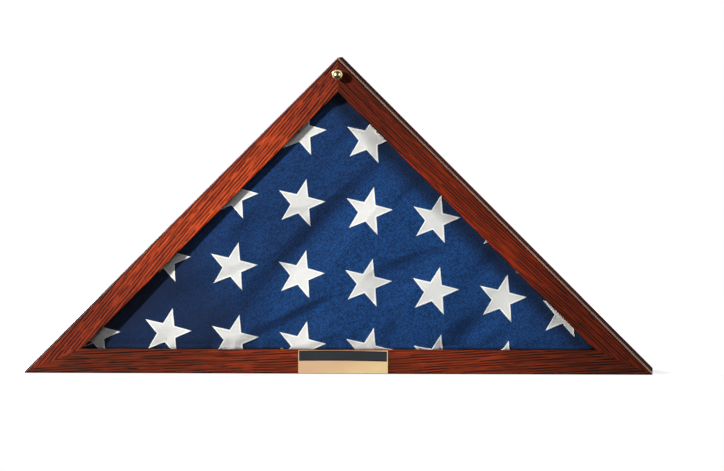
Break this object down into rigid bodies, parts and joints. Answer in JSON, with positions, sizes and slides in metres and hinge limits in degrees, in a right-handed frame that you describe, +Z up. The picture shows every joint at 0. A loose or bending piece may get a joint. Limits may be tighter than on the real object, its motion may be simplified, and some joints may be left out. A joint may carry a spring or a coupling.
{
  "type": "flag display case",
  "caption": "Triangular wooden display case for a folded flag, with mitred boards, a glazed drop-front door on butt hinges, a brass knob, a magnetic catch and keyholes in the back.",
  "frame": {"origin": "on the underside of the base board, midway along the base and midway between the door's face and the back", "axes": "+X to the right along the base, +Y from the door to the back, +Z up to the apex"},
  "size_m": [0.656, 0.1039, 0.33],
  "materials": {
    "case_wood": "red mahogany stain, satin lacquer over open grain",
    "door_wood": "red mahogany stain, satin lacquer over open grain",
    "back_plywood": "stained plywood, matt",
    "spline_wood": "bare wood",
    "hinge_brass": "satin brass",
    "knob_brass": "polished brass",
    "plate_brass": "brushed brass with a dark band, bare of any engraving",
    "screw_steel": "zinc-plated steel",
    "bright_steel": "bright steel",
    "magnet": "nickel plate",
    "glass": "clear float glass",
    "flag_cloth": "woven cloth, navy with white stars",
    "adhesive_tape": "foam adhesive tape"
  },
  "bodies": {
    "case": {"base_board": "case_wood", "right_side_board": "case_wood", "left_side_board": "case_wood", "back_panel": "back_plywood", "back_panel_screws": "screw_steel", "catch_cup": "bright_steel", "catch_magnet": "magnet", "hinge_case_screws": "hinge_brass", "folded_flag": "flag_cloth", "case_spline_left": "spline_wood", "case_spline_right": "spline_wood", "case_spline_top": "spline_wood", "left_hinge_case_leaf": "hinge_brass", "right_hinge_case_leaf": "hinge_brass", "left_hinge_pin": "hinge_brass", "right_hinge_pin": "hinge_brass"},
    "door": {"door_bottom_rail": "door_wood", "door_right_stile": "door_wood", "door_left_stile": "door_wood", "glass_pane": "glass", "glazing_points": "bright_steel", "hinge_door_screws": "hinge_brass", "strike_disc": "bright_steel", "knob_screw": "screw_steel", "knob": "knob_brass", "nameplate_tape": "adhesive_tape", "nameplate": "plate_brass", "door_spline_left": "spline_wood", "door_spline_right": "spline_wood", "door_spline_top": "spline_wood", "left_hinge_door_leaf": "hinge_brass", "right_hinge_door_leaf": "hinge_brass"}
  },
  "joints": [
    {"name": "door_hinge", "type": "hinge", "parent": "case", "child": "door", "pos_m": [0, -0.0255, 0.0023], "axis": [1, 0, 0], "range_deg": [0, 110]}
  ]
}
